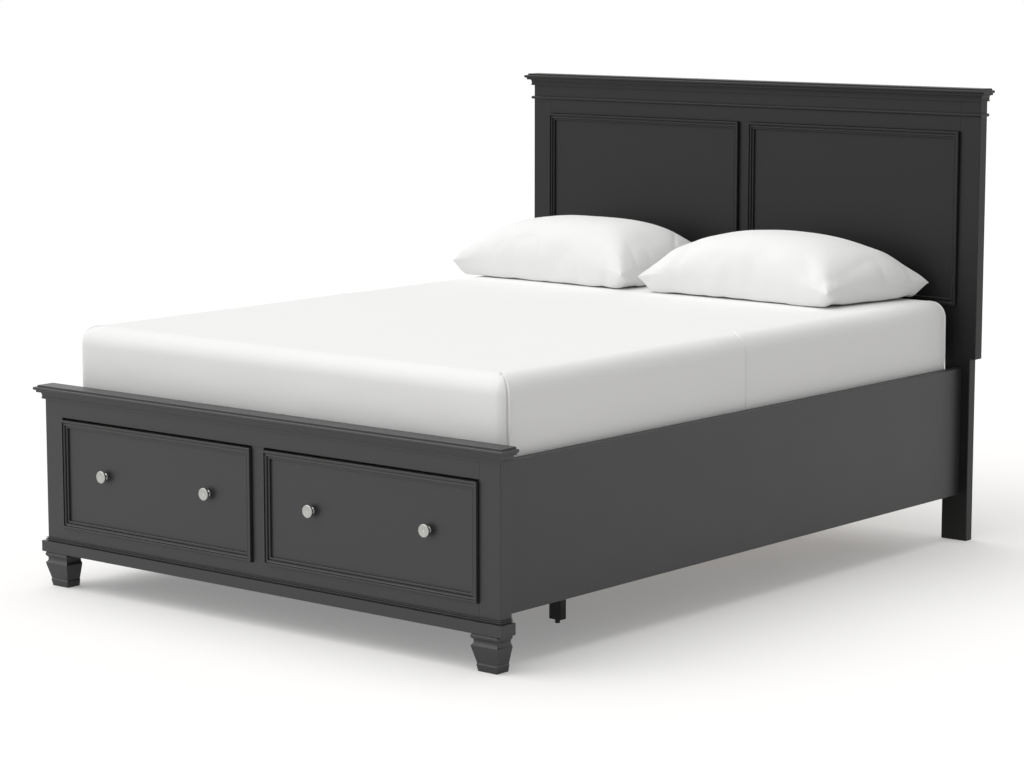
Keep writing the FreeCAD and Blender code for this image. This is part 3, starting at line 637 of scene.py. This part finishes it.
class BED_OT_finish_support(bpy.types.Operator):
    """Give slats, ledgers and beam their planed pine, and the legs under them lacquer and plastic glides"""

    bl_idname = "bed.finish_support"
    bl_label = "Finish slats, beam and legs"

    def execute(self, context):
        c = colours()
        pine, planed = (c["pine_early"], c["pine_late"]), {"ring_width": 0.012, "gloss": 0.7}
        give(["slats"],
             timber("planed_pine_slats", *pine, "X", **planed, board_pitch=(UNBROKEN, 0.1537, UNBROKEN)))
        give(["slat_ledgers", "centre_beam"],
             timber("planed_pine_ledgers", *pine, "Y", **planed, board_pitch=(0.5, UNBROKEN, UNBROKEN)))
        # The darker colour and lower shine of this lacquer are painted shade from under the bed.
        give(["support_legs"], satin_lacquer("satin_lacquer_legs", c["leg_lacquer"], shine=0.3))
        give(["leg_glides"], moulded_plastic("moulded_polyethylene", c["plastic"]))
        return {"FINISHED"}


class BED_OT_finish_case(bpy.types.Operator):
    """Give the boards of the drawer case their melamine"""

    bl_idname = "bed.finish_case"
    bl_label = "Finish drawer case"

    def execute(self, context):
        give(named("case_"), melamine_board("charcoal_melamine", colours()["melamine"]))
        return {"FINISHED"}


class BED_OT_finish_drawer_boxes(bpy.types.Operator):
    """Give the drawer boxes their sealed poplar"""

    bl_idname = "bed.finish_drawer_boxes"
    bl_label = "Finish drawer boxes"

    def execute(self, context):
        c = colours()
        poplar, sealed = (c["poplar_early"], c["poplar_late"]), {"ring_width": 0.02, "gloss": 0.5}
        give(named("drawer_box_sides"),
             timber("sealed_poplar_sides", *poplar, "Y", **sealed, board_pitch=(0.2, UNBROKEN, UNBROKEN)))
        give(named("drawer_box_ends", "drawer_bottom"),
             timber("sealed_poplar_ends", *poplar, "X", **sealed, board_pitch=(UNBROKEN, 0.2, UNBROKEN)))
        return {"FINISHED"}


class BED_OT_finish_metal(bpy.types.Operator):
    """Give the knobs their satin nickel, and the runners, hook plates and knob screws their zinc plate"""

    bl_idname = "bed.finish_metal"
    bl_label = "Finish knobs and hardware"

    def execute(self, context):
        c = colours()
        give(["knobs_left", "knobs_right"], satin_nickel("satin_nickel_plate", c["nickel"]))
        give(named("runner_", "rail_hook_plates", "knob_screws"), zinc_plate("bright_zinc_plate", c["zinc"]))
        return {"FINISHED"}


class BED_OT_make_mattress(bpy.types.Operator):
    """Make the mattress: two taped edges, a quilted border between them, and a flat panel above and below"""

    bl_idname = "bed.make_mattress"
    bl_label = "Make mattress"

    def execute(self, context):
        s = sizes()
        # The body stays this far inside the sheet: at the sides, under it and on top.
        side_gap, under_gap, top_gap = 0.003, 0.0006, 0.0025
        low = mattress_low + (side_gap, side_gap, under_gap)
        high = mattress_high - (side_gap, side_gap, top_gap)
        half, centre = (high - low)[:2] / 2, (low + high)[:2] / 2
        corner, edge = 0.052, 0.048
        plan = round_plan([np.linspace(-1, 1, count) for count in (150, 110, 150, 110)], 16)
        inset, height, tilt, _ = edge_profile(low[2], high[2], edge, np.pi / 2, 14, half[0])
        under = np.linspace(half[0], edge, int((half[0] - edge) / 0.02))[:-1]
        inset = np.concatenate((under, inset))
        height = np.concatenate((0 * under + low[2], height))
        tilt = np.concatenate((0 * under - np.pi / 2, tilt))
        profile = inset, height, tilt, lengths_along(inset, height)
        points, outwards, flat = swept_slab(plan, profile, half, centre, corner)
        # The tape is a round cord 22 mm inside each edge, and stands out by tape_rise.
        climb, tape_place, tape_rise = height[:, None], 0.022, 0.0022
        below, above = climb - low[2], high[2] - climb
        tapes = bell(below - tape_place, s.tape_radius) + bell(above - tape_place, s.tape_radius)
        # The border between the tapes is drawn in by stitched waves, quilt_pitch apart both ways.
        border = eased_step(below, 0.03, 0.05) * eased_step(above, 0.03, 0.05)
        side_row, quilt_pitch = len(under) + 20, 0.11
        around = lengths_round(points[side_row])
        waves = np.cos(2 * np.pi * around / quilt_pitch)[None, :] * np.cos(2 * np.pi * climb / quilt_pitch)
        on_side = np.cos(tilt)[:, None] > 0.2
        raised = np.where(on_side, tapes * tape_rise - border * s.tuft_depth * (0.6 - 0.4 * waves), 0.0)
        points = points + outwards * (raised - tape_rise)[..., None]
        points[..., 2] = np.clip(points[..., 2], low[2], high[2])
        piece = new_piece("mattress_body", points, grid_faces(*points.shape[:2], ring=True),
                          knitted_ticking("knitted_ticking", colours()["ticking"]), flat)
        close_up(piece)
        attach(piece, "mattress")
        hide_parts("mattress")
        return {"FINISHED"}


def dart(across, groove, ridge, ridge_place):
    """A dart across its seam: a groove, and beside it the ridge of turned-in cloth, half as high."""
    return 0.5 * bell(across - ridge_place, ridge) - bell(across, groove)


def corner_darts(plan, inset, radius, depth):
    """How far the darts down the sheet's four corners lift its surface. Each ends in a point on top.

    A dart also draws in the cloth for 30 mm round it, by up to 0.6 mm.
    """
    turn = np.mod(plan[2], np.pi / 2)
    corner = np.floor(plan[2] / (np.pi / 2) + 1e-6).astype(int) % 4
    sewn_at = np.radians(np.choose(corner, (27.0, 63.0, 27.0, 63.0)))
    hand = np.choose(corner, (-1.0, 1.0, -1.0, 1.0))
    across = np.where(turn > 1e-6, (turn - sewn_at) * radius * hand, 1.0)
    sewn = dart(across, groove=0.0021, ridge=0.0018, ridge_place=0.0042) * depth
    return (1 - eased_step(inset, 0.012, 0.05)) * (sewn - bell(across, 0.03) * 0.0006)


def side_darts(across, inset, depth):
    """How far the dart in each long side lifts the sheet, about half as deep as at the corners."""
    sewn = dart(across, groove=0.0017, ridge=0.0024, ridge_place=0.004) * depth * 0.55
    return (1 - eased_step(inset, 0.03, 0.1)) * sewn


def slack_cloth(points, top, upper, depth):
    """How far slack cloth lies off its tight line: shallow waves on top, and waves drawn out along the sides.

    top is 1 on top of the slab and 0 on its sides, and upper is 0 where the sheet lies between the rails.
    """
    waves = unevenness(points * (1.0, 1.0, 2.0), 0.55, 5) * 0.5 + 0.5
    creases = unevenness(points * (0.7, 0.7, 2.2), 0.16, 8) * 0.0005
    rolls = unevenness(points * (1.0, 1.0, 0.4), 0.4, 21) * 0.0016
    return -depth * waves * (0.35 + 0.65 * top) + (creases + rolls) * upper * (1 - top)


class BED_OT_make_fitted_sheet(bpy.types.Operator):
    """Make the fitted sheet: drawn over the mattress, darted at its corners and sides, gathered at its hem"""

    bl_idname = "bed.make_fitted_sheet"
    bl_label = "Make fitted sheet"

    def execute(self, context):
        s = sizes()
        half = np.array((sheet_high[0], (sheet_high[1] - sheet_low[1]) / 2))
        centre = np.array((0.0, (sheet_high[1] + sheet_low[1]) / 2))
        hem_gap, dart_place = 0.0008, 0.0065
        bottom = mattress_low[2] + hem_gap
        # Points stand 15 mm apart along the straight sides, and 2 mm apart near the dart in each long side.
        reach = half[1] - s.sheet_corner
        close = (dart_place - centre[1] + np.arange(-0.02, 0.0201, 0.002)) / reach
        before, after = np.linspace(-1, close[0], 66)[:-1], np.linspace(close[-1], 1, 66)[1:]
        long_side, short_side = np.concatenate((before, close, after)), np.linspace(-1, 1, 96)
        plan = round_plan((long_side, short_side, -long_side[::-1], short_side), 34)
        profile = edge_profile(bottom, sheet_high[2], s.sheet_edge, 1.1, 10, half[0])
        points, outwards, flat = swept_slab(plan, profile, half, centre, s.sheet_corner)
        inset, height, tilt, length = (row[:, None] for row in profile)
        # On top, the lines near each side dart bend towards the head, so that its point can curve as sewn.
        on_long_side = np.abs(plan[0]) > 0.999
        from_dart = np.where(on_long_side, plan[1] * reach + centre[1] - dart_place, 1.0)
        bend = 0.1 * np.clip((inset - 0.02) / 0.1, 0, 1) ** 1.6 * (1 - eased_step(inset, 0.3, 0.6))
        points[..., 1] += bend * on_long_side * bell(from_dart, 0.36)
        # The hem: elastic draws it into small ripples under the mattress edge.
        side_row, ripple_height, ripple_pitch = 12, 0.0011, 0.06
        around = lengths_round(points[side_row])
        hem = 1 - eased_step(length, 0.0, 0.045)
        phase = 2 * np.pi * around / ripple_pitch + 3 * np.sin(around * 9)
        ripples = hem * ripple_height * (np.sin(phase) - 1)
        # Between the rails, the sheet has no more than this room outside its tight line.
        room = 0.0007
        top = eased_step(np.sin(tilt), 0.5, 1.0)
        upper = eased_step(height, rail_high[2] + 0.004, rail_high[2] + 0.05)
        lift = corner_darts(plan, inset, s.sheet_corner, s.dart_depth)
        lift = lift + side_darts(from_dart, inset, s.dart_depth)
        lift = lift + slack_cloth(points, top, upper, s.slack) + ripples
        lift = upper * lift + (1 - upper) * np.minimum(lift, room)
        points = points + outwards * lift[..., None]
        points[..., 2] = np.minimum(points[..., 2], sheet_high[2])
        piece = new_piece("fitted_sheet_cover", points, grid_faces(*points.shape[:2], ring=True),
                          woven_cloth("white_cotton_sheet", colours()["cotton"], s.thread, unevenness=0.0012),
                          flat)
        close_up(piece)
        thick = piece.modifiers.new("cloth_thickness", "SOLIDIFY")
        thick.thickness = s.sheet_thickness
        thick.offset = -1.0
        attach(piece, "mattress")
        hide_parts("fitted_sheet")
        return {"FINISHED"}


# Plan corners of each pillow in metres: foot end left, foot end right, head end right, head end left.
pillow_corners = {"left": ((-0.807, 0.608), (-0.119, 0.602), (-0.066, 1.039), (-0.800, 1.040)),
                  "right": ((-0.070, 0.608), (0.623, 0.598), (0.694, 1.032), (-0.060, 1.040))}
# How full each pillow is towards its left and its right end: the power by which its height falls off.
pillow_fullness = {"left": (2.25, 3.2), "right": (2.1, 2.25)}
# Half the length and half the width of either pillow, nearly enough for the width of its rim.
half_length, half_width = 0.36, 0.21
# How far back a pillow may reach, just short of the headboard, and how far it may swell over its crown.
pillow_back, crown_room = 1.044, 0.014


def pillow_shape(corners, fullness, low, seam, crown, columns, rows):
    """Upper and lower cover of a pillow as two grids over the shares u and v, each from -1 to 1.

    Height above the seam is the crown times the square root of (1 - |u|^f)(1 - |v|^2.6), where f is the
    fullness of that end: the flanks stand up from the seam and the corners pinch to points. Between the
    corners the outline draws in by up to 12 mm at the ends and 18 mm at the long sides. The lower cover falls
    from the seam to the sheet within 14 to 60 mm, and is flat from there on, where it rests.
    """
    # Points crowd towards the seam: sines of equal steps, up to this share of a quarter turn.
    closer = 0.94
    u, v = (np.sin(np.linspace(-1, 1, count) * np.pi / 2 * closer) / np.sin(np.pi / 2 * closer)
            for count in (columns, rows))
    u, v = np.meshgrid(u, v, indexing="ij")
    weights = np.stack(((1 - u) * (1 - v), (1 + u) * (1 - v), (1 + u) * (1 + v), (1 - u) * (1 + v))) / 4
    x, y = np.tensordot(np.array(corners).T, weights, 1)
    x = x - np.sign(u) * np.abs(u) ** 3 * (1 - v**2) * 0.012
    y = y - np.sign(v) * np.abs(v) ** 3 * (1 - u**2) * 0.018
    ends, flanks = np.clip(1 - np.abs(u), 0, 1), np.clip(1 - np.abs(v), 0, 1)
    power = np.where(u < 0, fullness[0], fullness[1])
    upper = seam + crown * np.sqrt((1 - (1 - ends) ** power) * (1 - (1 - flanks) ** 2.6))
    fall_u = np.clip(ends * half_length / (0.02 + 0.04 * np.abs(v) ** 4), 0, 1)
    fall_v = np.clip(flanks * half_width / (0.014 + 0.02 * np.abs(u) ** 6), 0, 1)
    lower = seam - (seam - low) * (np.sin(fall_u * np.pi / 2) * np.sin(fall_v * np.pi / 2)) ** 0.6
    return np.stack((x, y, upper), -1), np.stack((x, y, lower), -1), np.stack((x, y), -1), u, v


def corner_folds(u, v, corners, reach):
    """Folds that run out from the four corners: a ridge on the diagonal with a hollow on either side of it.

    Height is the cosine of five times the angle from the diagonal, times a/r times e^(1 - a/r), where a is
    the distance from the corner and r is the reach, at which the fold is highest.
    """
    across = np.linalg.norm(np.subtract(corners[1], corners[0])) / 2
    along = np.linalg.norm(np.subtract(corners[2], corners[1])) / 2
    side, end = (1 - np.abs(u)) * across, (1 - np.abs(v)) * along
    away = np.hypot(side, end)
    turn = np.arctan2(end, side) - np.pi / 4
    return np.cos(5 * turn) * (away / reach) * np.exp(1 - away / reach)


def seam_puckers(u, v, rim):
    """Puckers 12 mm inside the seam: 61 waves round the pillow, closer together here and there."""
    around = np.arctan2(v, u)
    return bell(rim - 0.012, 0.010) * np.sin(61 * around + 2 * np.sin(7 * around))


def soften(piece, low, high, seed, dent_depth, crease_height):
    """Give a filled cover soft dents, 120 mm across, and creases 35 mm wide, along its vertices' normals.

    The dents are unevenness times their depth. The creases run mostly up and down, where another unevenness
    passes through 0: a bell curve of its value. Both fade out towards the crest and the headboard.
    """
    points = vertices_of(piece)
    outwards = np.empty(points.size)
    piece.data.vertices.foreach_get("normal", outwards)
    dents = unevenness(points, 0.12, seed + 1) * dent_depth
    creases = bell(unevenness(points * (1.0, 1.0, 0.5), 0.15, seed + 2), 0.34) * crease_height
    free = 1 - eased_step(points[:, 2], high[2] - 0.07, high[2] - 0.02)
    free *= 1 - eased_step(points[:, 1], 0.99, 1.035)
    points += outwards.reshape(-1, 3) * ((dents + creases - 0.4 * crease_height) * free)[:, None]
    points[:, 2] = np.clip(points[:, 2], low[2], high[2] + crown_room)
    points[:, 1] = np.minimum(points[:, 1], pillow_back)
    move_vertices(piece, points)


class BED_OT_make_pillows(bpy.types.Operator):
    """Make the two pillows: cut from two covers, filled, and resting on the sheet"""

    bl_idname = "bed.make_pillows"
    bl_label = "Make pillows"

    def execute(self, context):
        s = sizes()
        cotton = woven_cloth("white_cotton_pillow", colours()["cotton"], s.thread, unevenness=0.0015)
        for side, seed in (("left", 3), ("right", 12)):
            low, high = node_box("pillow_" + side)
            # The crown starts this much too high, because it settles as the cover fills.
            seam, settling = low[2] + s.pillow_seam, 0.0045
            crown = high[2] - seam + settling
            corners = pillow_corners[side]
            upper, lower, flat, u, v = pillow_shape(corners, pillow_fullness[side], low[2], seam, crown,
                                                    columns=120, rows=84)
            rim = np.minimum((1 - np.abs(u)) * half_length, (1 - np.abs(v)) * half_width)
            folds = corner_folds(u, v, corners, reach=0.09) * s.fold_height
            puckers = seam_puckers(u, v, rim) * s.pucker
            upper[..., 2] += (folds + puckers) * np.clip(rim / 0.004, 0, 1)
            quads = grid_faces(*upper.shape[:2], ring=False)
            quads = np.concatenate((quads, quads[:, ::-1] + u.size))
            piece = new_piece("pillow_cover_" + side, np.stack((upper, lower)), quads, cotton,
                              np.stack((flat, flat)))
            close_up(piece)
            # A first unevenness of 0.8 mm, so that the cloth buckles here and there as it fills.
            points = vertices_of(piece)
            points += 0.0008 * unevenness(points, 0.16, seed)[:, None] * (0, 0, 1)
            points[:, 2] = np.maximum(points[:, 2], low[2])
            move_vertices(piece, points)
            inflate(piece, pressure=4.0, most=s.pillow_swell, slack=0.01)
            subdivide(piece)
            soften(piece, low, high, seed, s.dent_depth, s.crease_height)
            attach(piece, "pillow_" + side)
            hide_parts("pillow_" + side)
        return {"FINISHED"}


def turned_heads(name, centres, axis, radius, rise, material):
    """Low round screw or bolt heads as one piece: a profile turned about each centre, with a socket in it.

    A point is radius times share from its centre, at one of 12 angles, and stands rise times climb proud.
    """
    share = np.array([1.0, 1.0, 0.93, 0.8, 0.55, 0.34, 0.3, 0.0])
    climb = np.array([0.0, 0.45, 0.75, 0.9, 1.0, 1.0, 0.35, 0.35])
    angle = np.linspace(0, 2 * np.pi, 13)[:-1]
    grid = len(share), len(angle)
    head = np.stack((np.outer(share, np.cos(angle)) * radius, np.outer(share, np.sin(angle)) * radius,
                     np.broadcast_to(climb[:, None] * rise, grid)), -1)
    if axis == "Y":
        head = head[..., [0, 2, 1]] * (1.0, 1.0, -1.0)
    points = head[None] + np.asarray(centres)[:, None, None, :]
    shift = np.arange(len(points))[:, None, None] * (grid[0] * grid[1])
    piece = new_piece(name, points, (grid_faces(*grid, ring=True)[None] + shift).reshape(-1, 4), material)
    close_up(piece)
    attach(piece, "bed")


class BED_OT_make_fastenings(bpy.types.Operator):
    """Make the screw heads in the slats and the bolt heads at the back of the headboard legs"""

    bl_idname = "bed.make_fastenings"
    bl_label = "Make fastenings"

    def execute(self, context):
        s = sizes()
        zinc = zinc_plate("bright_zinc_heads", colours()["zinc"])
        half_slat, from_end, sunk = 0.035, 0.0075, 0.0001
        slat_centres = np.linspace(slats_low[1] + half_slat, slats_high[1] - half_slat, 14)
        edge = slats_high[0] - from_end
        centres = [(x, y, slats_high[2] - sunk) for y in slat_centres for x in (-edge, edge)]
        turned_heads("slat_screw_heads", centres, "Z", radius=s.screw_head / 2, rise=0.0004, material=zinc)
        leg_low, leg_high = node_box("headboard_leg_right")
        middle = (leg_low[0] + leg_high[0]) / 2
        bolt_heights = (0.575, 0.645)
        centres = [(x, leg_high[1], z) for x in (-middle, middle) for z in bolt_heights]
        turned_heads("leg_bolt_heads", centres, "Y", radius=s.bolt_head / 2, rise=0.0035, material=zinc)
        return {"FINISHED"}


class BED_OT_make_stage(bpy.types.Operator):
    """Make the floor, the light and the camera"""

    bl_idname = "bed.make_stage"
    bl_label = "Make stage"

    def execute(self, context):
        scene = context.scene
        studio = scene.bed_studio
        scene.view_settings.view_transform = "Standard"
        white = linear("#ffffff")
        floor = new_material("matt_white_floor")
        lift = add_node(floor, "Math", {"operation": "MULTIPLY", 1: studio.floor_lift}, {0: ray_seen(floor)})
        matt = add_node(floor, "BsdfDiffuse", {"Color": linear("#e4e3e1")})
        glow = add_node(floor, "Emission", {"Color": white}, {"Strength": lift})
        both = add_node(floor, "AddShader", links={0: matt, 1: glow})
        add_node(floor, "OutputMaterial", links={"Surface": both})
        reach, below = np.linspace(-60, 60, 9), -0.0002
        x, y = np.meshgrid(reach, reach, indexing="ij")
        points = np.stack((x, y, 0 * x + below), -1)
        new_piece("stage_floor", points, grid_faces(*x.shape, ring=False), floor)

        world = bpy.data.worlds.new("studio")
        world.use_nodes = True
        world.node_tree.nodes.clear()
        sky = add_node(world, "Background", {"Color": white, "Strength": studio.sky})
        shown = add_node(world, "Background", {"Color": white, "Strength": 1.0})
        both = add_node(world, "MixShader", links={0: ray_seen(world), 1: sky, 2: shown})
        add_node(world, "OutputWorld", links={"Surface": both})
        scene.world = world

        for name in ("key", "fill"):
            light = bpy.data.lights.new(name + "_softbox", "SUN")
            light.energy = getattr(studio, name)
            light.angle = getattr(studio, name + "_width")
            lamp = bpy.data.objects.new(light.name, light)
            lamp.rotation_euler = (getattr(studio, name + "_tilt"), 0.0, getattr(studio, name + "_turn"))
            scene.collection.objects.link(lamp)

        camera = bpy.data.cameras.new("camera")
        camera.lens = studio.lens
        camera.sensor_width = 36.0
        camera.clip_end = 300.0
        eye = bpy.data.objects.new("camera", camera)
        eye.location = studio.place
        eye.rotation_euler = (np.pi / 2 - studio.pitch, 0.0, studio.turn)
        scene.collection.objects.link(eye)
        scene.camera = eye
        return {"FINISHED"}


operators = (
    BED_OT_lacquer_footboard,
    BED_OT_lacquer_headboard,
    BED_OT_finish_support,
    BED_OT_finish_case,
    BED_OT_finish_drawer_boxes,
    BED_OT_finish_metal,
    BED_OT_make_mattress,
    BED_OT_make_fitted_sheet,
    BED_OT_make_pillows,
    BED_OT_make_fastenings,
    BED_OT_make_stage,
)


class BED_PT_panel(bpy.types.Panel):
    """Lists the steps that dress the bed"""

    bl_idname = "BED_PT_panel"
    bl_label = "Storage bed"
    bl_space_type = "VIEW_3D"
    bl_region_type = "UI"
    bl_category = "Bed"

    def draw(self, context):
        for operator in operators:
            self.layout.operator(operator.bl_idname)
        for group, settings in groups.items():
            box = self.layout.box()
            for name in settings.__annotations__:
                box.prop(getattr(context.scene, group), name)


groups = {"bed_colours": BedColours, "bed_sizes": BedSizes, "bed_studio": BedStudio}
classes = (*groups.values(), *operators, BED_PT_panel)


def register():
    """Make the classes and the scene's settings known."""
    for cls in classes:
        bpy.utils.register_class(cls)
    for group, settings in groups.items():
        setattr(bpy.types.Scene, group, bpy.props.PointerProperty(type=settings))


def unregister():
    """Take the classes and the scene's settings away."""
    for group in groups:
        delattr(bpy.types.Scene, group)
    for cls in reversed(classes):
        bpy.utils.unregister_class(cls)


def main():
    """Dress the bed step by step."""
    register()
    bpy.ops.bed.lacquer_footboard()
    bpy.ops.bed.lacquer_headboard()
    bpy.ops.bed.finish_support()
    bpy.ops.bed.finish_case()
    bpy.ops.bed.finish_drawer_boxes()
    bpy.ops.bed.finish_metal()
    bpy.ops.bed.make_mattress()
    bpy.ops.bed.make_fitted_sheet()
    bpy.ops.bed.make_pillows()
    bpy.ops.bed.make_fastenings()
    bpy.ops.bed.make_stage()


if __name__ == "__main__":
    main()
